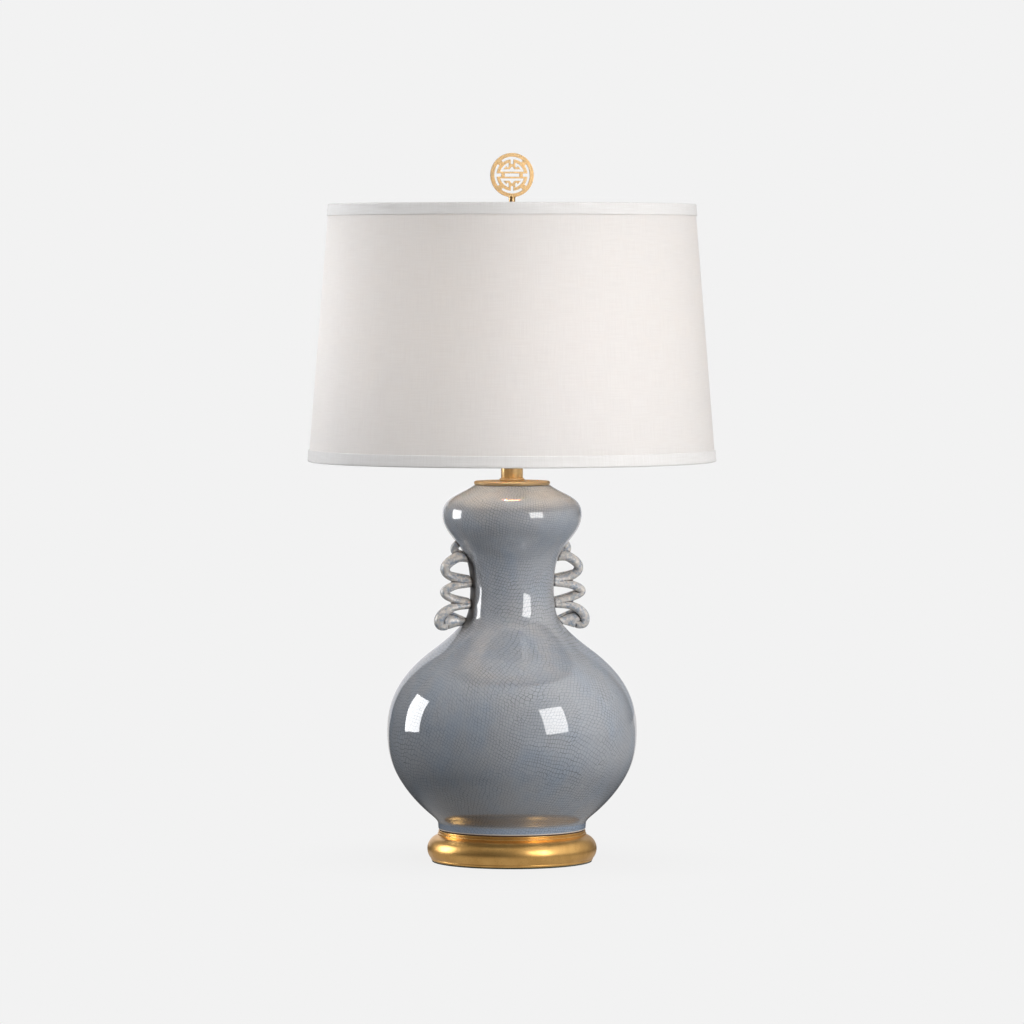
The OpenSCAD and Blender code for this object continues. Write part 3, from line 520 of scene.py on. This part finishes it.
glaze, tree, shader = finish_named("crackle glaze", Roughness=0.04, IOR=1.9)
spot = lay(tree, "SeparateXYZ", {0: on_object(tree)}).outputs
height = spot[2]
tone = blend(tree, cloudy(tree, on_object(tree), 14.0), glaze_grey, glaze_blue)
tone = blend(tree, times(tree, cloudy(tree, on_object(tree, (1, 1, 0.6)), 32.0), 0.6), tone, glaze_warm)
foot_band = ease(tree, height, *band_end, 1.0, 0.0)
tone = blend(tree, times(tree, foot_band, 0.7), tone, foot_blue)

wide_cell, narrow_cell, line_width = 0.004, 0.0031, 0.095
border = lay(tree, "TexNoise", {"Vector": on_object(tree), "Scale": 60.0}).outputs["Fac"]
upper = calculate(tree, "GREATER_THAN", times_plus(tree, border, 0.02, height), finer_above)
cell_size = times_plus(tree, upper, narrow_cell - wide_cell, wide_cell)
masks = lay(tree, "Group", {
    "Vector": on_object(tree), "Climb": lay(tree, "Attribute", attribute_name="climb").outputs["Fac"],
    "Cell Size": cell_size, "Line Width": line_width}, node_tree=crackle_group()).outputs
tone = blend(tree, times(tree, masks["Cells"], 0.16), tone, cell_pale)
tone = blend(tree, times(tree, masks["Lines"], 0.95), tone, crack_dark)

# Dark seams beside the handles, partly stained joints and partly painted shade and painted reflection of the
# handles, and the foot's unglazed edge, brown and painted darker as shade in its gap over the base, under a
# pale line.
radius = calculate(tree, "SQRT", times_plus(tree, spot[0], spot[0], times(tree, spot[1], spot[1])))
beside = calculate(tree, "DIVIDE", calculate(tree, "ABSOLUTE", spot[1]), radius)
ragged = lay(tree, "TexNoise", {"Vector": on_object(tree), "Scale": 150.0}).outputs["Fac"]
ragged = times_plus(tree, ragged, 0.16, beside)
seam = times(tree, ease(tree, ragged, 0.32, 0.48, 1.0, 0.0), ease(tree, height, *seam_start))
seam = times(tree, seam, ease(tree, height, *seam_end, 1.0, 0.0))
# Painted shade and painted reflection of the handles, with some stained joints, on the neck beside them.
tone = blend(tree, times(tree, seam, 0.92), tone, seam_stain_and_shade)
bare_rim = ease(tree, height, *white_end, 1.0, 0.0)
tone = blend(tree, bare_rim, tone, rim_white)
# Painted shade in the gap over the base, on the foot's brown unglazed edge.
tone = blend(tree, ease(tree, height, *brown_end, 1.0, 0.0), tone, foot_brown_and_gap_shade)
rough = times_plus(tree, bare_rim, 0.6, ease(tree, height, *sheen_end, 0.17, 0.04))
paint(tree, shader, tone, times_plus(tree, seam, 0.5, rough))
waves = lay(tree, "TexNoise", {"Vector": on_object(tree), "Scale": 26.0, "Detail": 1.0}).outputs["Fac"]
dent(tree, shader, waves, 0.0004, 0.5)
fit(vase, "stand", "crackle_glaze", glaze, "vase_body")

# Handles: a roll of clay pressed flat, bent down in a zigzag and luted to the neck where it folds.
# Its end is spread to a leaf. Each point: distance out, height, half thickness, and how far behind.
strip_points = [
    (46.6, 358.2, 4.2, 0), (50.7, 358.3, 4.4, 0), (55.2, 359.0, 5.0, 0), (60.1, 360.1, 5.5, -0.5),
    (66.3, 359.8, 5.8, -1), (72.6, 356.7, 5.8, -1.5), (77.6, 352.8, 5.7, -1.2), (80.6, 348.0, 5.6, 0),
    (79.9, 342.8, 5.4, 1.5), (75.3, 338.4, 5.1, 1.8), (69.4, 335.9, 5.0, 1.5), (62.6, 333.9, 4.9, 1),
    (55.2, 332.7, 4.9, 0.5), (49.0, 331.0, 4.9, 0), (54.8, 328.6, 4.7, -0.5), (62.2, 327.9, 4.8, -1),
    (69.6, 326.8, 4.9, -1.2), (76.4, 324.6, 5.0, -1), (81.6, 321.9, 5.0, -0.5), (84.0, 318.7, 5.0, 0.3),
    (81.4, 315.3, 4.8, 1.2), (76.0, 312.6, 4.6, 1.5), (68.7, 309.9, 4.5, 1.2), (60.5, 307.6, 4.4, 0.6),
    (54.0, 306.2, 4.3, 0.2), (49.0, 304.5, 4.2, 0), (54.8, 302.8, 4.2, -0.3), (62.2, 302.5, 4.4, -0.8),
    (69.6, 301.7, 4.7, -1.5), (76.5, 299.4, 5.1, -2), (82.7, 295.4, 5.4, -2), (87.0, 290.2, 5.7, -1.5),
    (88.4, 284.9, 5.9, -0.5), (86.8, 280.6, 5.9, 0.8), (82.5, 279.2, 5.5, 2), (78.0, 279.4, 4.8, 3),
]
left_nudge = {17: -1.2, 18: -2.2, 19: -2.7, 20: -2.2, 21: -1.2}
leaf_points = [
    (86, 282.6, 5.6, 1.5), (81.0, 283.4, 8.2, 2.2), (75.3, 283.9, 8.6, 2.5), (69.6, 284.0, 7.1, 2.2),
    (64.2, 283.6, 5.4, 1.5), (60.1, 283.2, 4.2, 0.5), (54.0, 282.7, 3.6, 0),
]
fold_points = [
    [(78.5, 342.0, 3.0, 7), (70.5, 339.4, 3.0, 7.5), (62.5, 337.6, 3.0, 7), (51, 335.6, 2.8, 6)],
    [(81, 318.0, 2.8, 6), (73, 314.8, 2.8, 7), (65, 312.2, 2.8, 7), (51, 308.6, 2.8, 6)],
    [(79, 295, 2.8, 5), (72.5, 293.0, 2.8, 6.5), (65, 289.8, 2.8, 6.5), (53, 284.5, 2.8, 5)],
    [(60.0, 363.0, 4.4, 3.5), (67.6, 366.6, 4.8, 5), (67.8, 371.4, 4.7, 5.5), (62.5, 377.6, 4.4, 4.5)],
]
profile_steps, strip_steps = 20, 5


def bent_strip(name, points, depth):
    """A flattened roll along the points, drawn flat as a curve with an oval section and stood up."""
    bpy.ops.object.select_all(action="DESELECT")
    bpy.ops.curve.primitive_bezier_circle_add(radius=0.001)
    section = bpy.context.object
    section.data.resolution_u = profile_steps // 4
    section.scale = (1, depth, 1)
    bpy.ops.object.transform_apply(location=False, rotation=False, scale=True)
    bpy.ops.curve.primitive_bezier_curve_add()
    strip = bpy.context.object
    strip.name = name
    strip.data.dimensions = "2D"
    spline = strip.data.splines[0]
    spline.bezier_points.add(len(points) - 2)
    for point, (out, up, half, _) in zip(spline.bezier_points, points):
        point.co = Vector((out, up, 0)) / 1000
        point.handle_left_type = point.handle_right_type = "AUTO"
        point.radius = half
    spline.resolution_u = strip_steps
    strip.data.bevel_mode, strip.data.bevel_object = "OBJECT", section
    bpy.ops.object.select_all(action="DESELECT")
    strip.select_set(True)
    bpy.context.view_layer.objects.active = strip
    bpy.ops.object.convert(target="MESH")
    strip = bpy.context.object
    strip.rotation_euler = (math.radians(90), 0, 0)
    bpy.ops.object.transform_apply(location=True, rotation=True, scale=True)
    slant = 0.12
    for v in strip.data.vertices:
        along = min(v.index // profile_steps / strip_steps, len(points) - 1.001)
        before, after = points[int(along)][3], points[int(along) + 1][3]
        v.co.z += v.co.y * slant
        v.co.y += (before + (after - before) * (along % 1)) / 1000
    bpy.data.objects.remove(section)
    bpy.ops.object.mode_set(mode="EDIT")
    bpy.ops.mesh.select_all(action="SELECT")
    bpy.ops.mesh.fill_holes(sides=0)
    bpy.ops.mesh.normals_make_consistent(inside=False)
    bpy.ops.object.mode_set(mode="OBJECT")
    return strip


def wall_radius(z):
    """The vase's outer radius at a height, in millimetres."""
    for (r1, z1), (r2, z2) in zip(outside, outside[1:]):
        if z1 <= z <= z2:
            return r1 + (r2 - r1) * (z - z1) / (z2 - z1)
    return outside[0][0]


def within(value, low, high):
    """The value's share of the way from low to high, kept from 0 to 1."""
    return min(max((value - low) / (high - low), 0), 1)


def curvature_marks(piece):
    """Writes how raised and how sunk the clay is at each point, for the glaze to thin over ridges, and for
    darkening in its creases that is partly pooled glaze and partly painted shade. Close to the vase's wall it
    counts as sunk, for painted shade where the handle meets the wall."""
    mesh = piece.data
    neighbours = [[] for _ in mesh.vertices]
    for edge in mesh.edges:
        a, b = edge.vertices
        neighbours[a].append(b)
        neighbours[b].append(a)
    bend = []
    for v in mesh.vertices:
        around = [mesh.vertices[n].co for n in neighbours[v.index]]
        count = max(len(around), 1)
        middle = sum(around, Vector()) / count
        reach = sum((co - v.co).length for co in around) / count
        bend.append((middle - v.co).dot(v.normal) / max(reach, 1e-6))
    for _ in range(3):
        bend = [(bend[i] + sum(bend[n] for n in around)) / (1 + len(around))
                for i, around in enumerate(neighbours)]
    for name in ("ridge", "hollow"):
        mesh.attributes.new(name, "FLOAT", "POINT")
    ridge, hollow = mesh.attributes["ridge"], mesh.attributes["hollow"]
    seam_near, seam_far = 0.0006, 0.0028
    for v in mesh.vertices:
        gap = math.hypot(v.co.x, v.co.y) - wall_radius(v.co.z * 1000) / 1000
        ridge.data[v.index].value = within(bend[v.index], -0.05, -0.11)
        hollow.data[v.index].value = max(within(bend[v.index], 0.01, 0.09), within(gap, seam_far, seam_near))


clay_grey = (0.57, 0.55, 0.525, 1)
clay_blue = (0.30, 0.35, 0.42, 1)
clay_pale = (0.78, 0.74, 0.69, 1)
crease_stain_and_shade = (0.035, 0.025, 0.02, 1)

handle_glaze, tree, shader = finish_named("handle glaze", Roughness=0.07, IOR=1.6)
ridge, hollow = (lay(tree, "Attribute", attribute_name=name).outputs["Fac"] for name in ("ridge", "hollow"))
blue_spots = cloudy(tree, on_object(tree), 170.0, rough=0.6, low=0.40, high=0.66)
tone = blend(tree, blue_spots, clay_grey, clay_blue)
pale_spots = cloudy(tree, on_object(tree), 330.0, detail=2.0, rough=0.5, low=0.5, high=0.66)
tone = blend(tree, times(tree, pale_spots, 0.6), tone, clay_pale)
tone = blend(tree, times(tree, ridge, 0.55), tone, clay_pale)
# Dark in the creases and where the clay meets the vase's wall: partly stained, pooled glaze and partly
# painted shade.
tone = blend(tree, hollow, tone, crease_stain_and_shade)
paint(tree, shader, tone, times_plus(tree, hollow, 0.3, 0.07))
lumps = lay(tree, "TexNoise", {"Vector": on_object(tree), "Scale": 120.0}).outputs["Fac"]
dent(tree, shader, lumps, 0.0004, 0.5)

clay_grain, lumps_a_metre, lump_depth = 0.0006, 45, 0.0005
for side, name in ((-1, "left"), (1, "right")):
    nudge = left_nudge if side < 0 else {}
    points = [(out + nudge.get(i, 0), up, half, back) for i, (out, up, half, back) in enumerate(strip_points)]
    strip = bent_strip("handle_" + name + "_clay", points, 1.45)
    parts = [bent_strip("leaf", leaf_points, 0.62)] + [bent_strip("fold", fold, 0.9) for fold in fold_points]
    bpy.ops.object.select_all(action="DESELECT")
    for part in parts + [strip]:
        part.select_set(True)
    bpy.context.view_layer.objects.active = strip
    bpy.ops.object.join()
    apply_modifiers(strip, ("REMESH", {"mode": "VOXEL", "voxel_size": clay_grain}),
                    ("SMOOTH", {"factor": 0.5, "iterations": 3}))
    for v in strip.data.vertices:
        v.co.x *= side
        v.co += noise.noise_vector(v.co * lumps_a_metre + Vector((side * 7, 0, 0))) * lump_depth
    if side < 0:
        strip.data.flip_normals()
    strip.data.update()
    bpy.ops.object.shade_smooth()
    curvature_marks(strip)
    fit(strip, "stand", "crackle_glaze", handle_glaze, "handle_" + name)

# Cap and collar: spun brass plate over the vase's mouth, gilt like the base, with rounded edges.
gilt_metal = metal("gilt metal", 0.016, (0.86, 0.63, 0.36, 1), (0.70, 0.46, 0.20, 1), patched=0.25,
                   specks=(leaf_olive, 0.05), smooth=0.36, rougher=0.05, dents=("Specks", 0.00001, 0.1),
                   metallic=0.8)

cap_z = lip_z + 4.5
spigot_out, spigot_in, spigot_z = 27.95, 24.25, lip_z - 7
cap = turn("vase_cap_gilt", [
    [pipe_hole, lip_z], [spigot_in, lip_z], [spigot_in, spigot_z], [spigot_out, spigot_z],
    [spigot_out, lip_z], [44.0, lip_z], [45, lip_z + 1.6], [45, lip_z + 3.0], [43.6, cap_z],
    [pipe_hole, cap_z]])
soften(cap, 0.7)
fit(cap, "stand", "gilt_metal", gilt_metal, "vase_cap")

collar_z = cap_z + 3.4
collar = turn("cap_collar_gilt", [
    [pipe_hole, cap_z], [14.2, cap_z], [14.8, cap_z + 1.0], [14.8, cap_z + 2.2], [13.6, collar_z],
    [pipe_hole, collar_z]], steps=96)
soften(collar, 0.6)
fit(collar, "stand", "gilt_metal", gilt_metal, "cap_collar")

# Neck tube and its check ring: polished brass tube that hides the threaded pipe.
aged_brass = metal("aged brass", 0.012, (0.95, 0.68, 0.33, 1), (0.78, 0.52, 0.22, 1), patched=0.15,
                   specks=((0.34, 0.19, 0.06, 1), 0.06), smooth=0.17, rougher=0.04,
                   dents=("Scratches", 0.00002, 0.4), metallic=0.65)

tube_z, tube_r, tube_bore = collar_z + 47, 13.0, 11.3
tube = turn("neck_tube_brass", [
    [tube_bore, collar_z], [tube_r, collar_z], [tube_r, tube_z], [tube_bore, tube_z]], steps=96)
soften(tube, 0.25)
fit(tube, "stand", "aged_brass", aged_brass, "neck_tube")

check_z, check_r = tube_z + 2, 13.3
check_ring = turn("neck_check_ring_brass", [
    [pipe_hole, tube_z], [check_r, tube_z], [check_r, check_z], [pipe_hole, check_z]], steps=96)
soften(check_ring, 0.5)
fit(check_ring, "stand", "aged_brass", aged_brass, "neck_check_ring")

# Harp: steel wire loop, brass plated, whose legs drop into loose sleeves on a saddle that the
# pipe's nut clamps. Its top carries a threaded stud for the shade's spider and the finial.
plated_steel = metal("brass plated steel", 0.01, (0.80, 0.62, 0.30, 1), (0.68, 0.50, 0.22, 1),
                     specks=((0.3, 0.2, 0.09, 1), 0.3), dents=("Scratches", 0.00002, 0.4))
dress(plated_steel, "harp_saddle", "harp_wire", "harp_stud", "harp_sleeve_left", "harp_sleeve_right",
      "spider_fitter")

# Socket: brass cap and shell with a fibre liner, a moulded body with its switch, and the aluminium
# screw shell and spring contact that the bulb turns into.
socket_brass = metal("socket brass", 0.009, (0.86, 0.66, 0.32, 1), (0.70, 0.50, 0.22, 1), patched=0.6,
                     rougher=0.08, dents=("Scratches", 0.00002, 0.4))
dress(socket_brass, "socket_cap", "socket_shell", "terminal_screws", "center_contact", "switch_shaft")

liner_card = mottled("liner card", 0.85, 900.0, (0.16, 0.10, 0.05, 1), (0.26, 0.17, 0.09, 1), (1, 1, 0.2))[0]
dress(liner_card, "socket_liner")

phenolic, tree, shader = mottled("phenolic", 0.3, 500.0, (0.012, 0.010, 0.009, 1), (0.03, 0.025, 0.022, 1))
dent(tree, shader, cloudy(tree, on_object(tree), 1500.0), 0.00003, 0.4)
dress(phenolic, "socket_body", "switch_knob")

cap_aluminium = metal("cap aluminium", 0.007, (0.80, 0.80, 0.79, 1), (0.66, 0.66, 0.65, 1), smooth=0.25)
dress(cap_aluminium, "screw_shell", "bulb_cap", "bulb_contact")

# Bulb: frosted glass globe, with a dark glass insulator under its cap. A small warm lamp in it gives
# the faint glow that the shade has, and the camera sees the globe darker than it is lit.
dark_glass = mottled("dark glass", 0.1, 400.0, (0.01, 0.01, 0.012, 1), (0.03, 0.03, 0.035, 1))[0]
dress(dark_glass, "bulb_insulator")

frosted_glass, tree, shader = finish_named("frosted glass", Roughness=0.35, IOR=1.5, Subsurface_Weight=0.3)
tone = blend(tree, cloudy(tree, on_object(tree), 60.0), (0.86, 0.85, 0.83, 1), (0.90, 0.89, 0.88, 1))
dimmed = times(tree, lay(tree, "LightPath").outputs["Is Camera Ray"], 0.95)
paint(tree, shader, blend(tree, dimmed, tone, black))
dress(frosted_glass, "bulb_glass")
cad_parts["bulb_glass"].visible_shadow = False

globe_z = 0.628
bpy.ops.object.light_add(type="POINT", location=(0, 0, globe_z))
filament = bpy.context.object
filament.name = "filament"
filament.data.energy, filament.data.color, filament.data.shadow_soft_size = 2.7, (1.0, 0.77, 0.56), 0.02
filament.visible_camera = filament.visible_glossy = False


# Shade: linen laminated on a stiff white liner and rolled into a cone, its seam at the back.
def weave_group():
    """Plain linen weave from a place on the cloth, in metres: its height, and its slubs' tone."""
    group, given, made = node_group("linen weave", {"Along": "Float", "Up": "Float", "Pitch": "Float"},
                                    ("Height", "Slubs"))
    turns = calculate(group, "DIVIDE", math.pi, given["Pitch"])

    def threads(across, along):
        """Threads laid side by side across, which go over and under along."""
        thick = calculate(group, "ABSOLUTE", calculate(group, "SINE", times(group, across, turns)))
        thread = calculate(group, "FLOOR", calculate(group, "DIVIDE", across, given["Pitch"]))
        phase = calculate(group, "ADD", times(group, along, turns), times(group, thread, math.pi))
        return times(group, thick, times_plus(group, calculate(group, "SINE", phase), 0.5, 0.5))

    def slubs(across, along, seed):
        """Thick stretches of single threads."""
        where = lay(group, "CombineXYZ", {0: times(group, across, 1100.0), 1: times(group, along, 34.0),
                                          2: seed}).outputs[0]
        return lay(group, "TexNoise", {"Vector": where, "Scale": 1.0, "Detail": 2.0}).outputs["Fac"]

    along, up = given["Along"], given["Up"]
    height = calculate(group, "MAXIMUM", threads(along, up), threads(up, along))
    thick = calculate(group, "ADD", slubs(along, up, 3.0), slubs(up, along, 8.0))
    group.links.new(times_plus(group, thick, 0.9, height), made["Height"])
    group.links.new(ease(group, times(group, thick, 0.5), 0.36, 0.64), made["Slubs"])
    return group


weave = weave_group()

# Metres, like all lengths in a material. The weave runs on round the cone at its middle radius.
thread_pitch, cone_r = 0.00062, 0.2275


def cloth(name, dark, light):
    """Woven linen between two tones, from the seam at the back round the axis, and up."""
    made, tree, shader = finish_named(name, Roughness=0.9, Sheen_Weight=0.15, Specular_IOR_Level=0.2)
    spot = lay(tree, "SeparateXYZ", {0: on_object(tree)}).outputs
    angle = calculate(tree, "ARCTAN2", spot[0], times(tree, spot[1], -1.0))
    masks = lay(tree, "Group", {"Along": times(tree, angle, cone_r), "Up": spot[2], "Pitch": thread_pitch},
                node_tree=weave).outputs
    paint(tree, shader, blend(tree, masks["Slubs"], dark, light))
    dent(tree, shader, masks["Height"], 0.00008, 0.35)
    return made


def see_through(material, colour, share):
    """Lets a share of the light through the material, spread out."""
    tree = material.node_tree
    shader, out = tree.nodes["Principled BSDF"], tree.nodes["Material Output"]
    through = lay(tree, "BsdfTranslucent", {0: colour})
    both = lay(tree, "MixShader", {0: share, 1: shader.outputs[0], 2: through.outputs[0]})
    tree.links.new(both.outputs[0], out.inputs[0])


shade_low, shade_top = 473.5, 774.5
low_r, top_r = 239.5, 215.5


def shade_r(z):
    """The linen's radius at a height."""
    return low_r + (top_r - low_r) * (z - shade_low) / (shade_top - shade_low)


def cone(name, outer, inner):
    """A thin band of the cone between two depths under the linen's face."""
    rows = 12
    heights = [shade_low + (shade_top - shade_low) * i / rows for i in range(rows + 1)]
    return turn(name, [[shade_r(z) - outer, z] for z in heights]
                + [[shade_r(z) - inner, z] for z in heights[::-1]], steps=256)


linen = cloth("linen", (0.85, 0.84, 0.84, 1), (0.90, 0.895, 0.895, 1))
see_through(linen, (0.90, 0.86, 0.81, 1), 0.30)

# The liner is darker in reflections, least at its bright upper part, and a little for the camera.
styrene, tree, shader = finish_named("shade styrene", Roughness=0.45)
tone = blend(tree, cloudy(tree, on_object(tree), 12.0), (0.84, 0.83, 0.80, 1), (0.88, 0.87, 0.85, 1))
height = lay(tree, "SeparateXYZ", {0: on_object(tree)}).outputs[2]
rays = lay(tree, "LightPath").outputs
dimmed = times(tree, rays["Is Glossy Ray"], ease(tree, height, 0.47, 0.66, 0.9, 0.45))
dimmed = times_plus(tree, rays["Is Camera Ray"], 0.35, dimmed)
paint(tree, shader, blend(tree, dimmed, tone, black))
dent(tree, shader, cloudy(tree, on_object(tree), 700.0), 0.00003, 0.3)
see_through(styrene, blend(tree, dimmed, (0.92, 0.90, 0.87, 1), black), 0.5)

liner = cone("shade_liner_styrene", outer=0.6, inner=1.4)
soften(liner, 0.15, angle=60)
fit(liner, "shade", "shade_styrene", styrene, "shade_liner")
skin = cone("shade_linen_cloth", outer=0.0, inner=0.58)
soften(skin, 0.12, angle=60)
fit(skin, "shade", "linen", linen, "shade_linen")

# Trims: strips of the same linen, folded over both rims and glued round the rim wires. Their outer
# leaf is given as (distance from the linen's face, distance from the rim).
# The trims' linen is painted darker than the panel's: painted shade for the light that does not come through
# their double layer.
trim_linen_painted_darker = cloth("trim linen", (0.74, 0.725, 0.71, 1), (0.785, 0.775, 0.765, 1))
trim_leaf = [(0.0, 13.0), (0.8, 13.1), (1.3, 12.7), (1.4, 12.0), (1.25, 9.0), (1.25, 4.0), (1.4, 0.8),
             (1.2, 0.0), (0.7, -0.5), (0.0, -0.8), (-1.4, -0.8)]
trim_end = [(-1.45, 3.2), (-1.45, 1.0), (0.0, 1.0)]
wire_in, wire_up, roll_r = 2.85, 1.4, 2.2

for name, rim, up in (("bottom_trim", shade_low, 1), ("top_trim", shade_top, -1)):
    wire_z = rim + up * wire_up
    roll = [[shade_r(wire_z) - wire_in - roll_r * math.sin(math.radians(a)),
             wire_z - up * roll_r * math.cos(math.radians(a))] for a in range(0, 226, 15)]
    leaf, end = ([[shade_r(rim + up * h) + d, rim + up * h] for d, h in points]
                 for points in (trim_leaf, trim_end))
    trim = turn(name + "_cloth", leaf + roll + end, steps=256)
    soften(trim, 0.2, angle=50, segments=2)
    fit(trim, "shade", "linen", trim_linen_painted_darker, name)
dress(plated_steel, "bottom_ring")

# Finial: turned brass foot on the stud, with a pierced fretwork roundel of cast brass.
cast_brass = metal("cast brass", 0.007, (0.61, 0.42, 0.22, 1), (0.50, 0.30, 0.12, 1), patched=0.6,
                   specks=((0.5, 0.28, 0.1, 1), 0.3), rougher=0.06, dents=("Specks", 0.00004, 0.5))
dress(cast_brass, "finial_base", "finial_roundel")
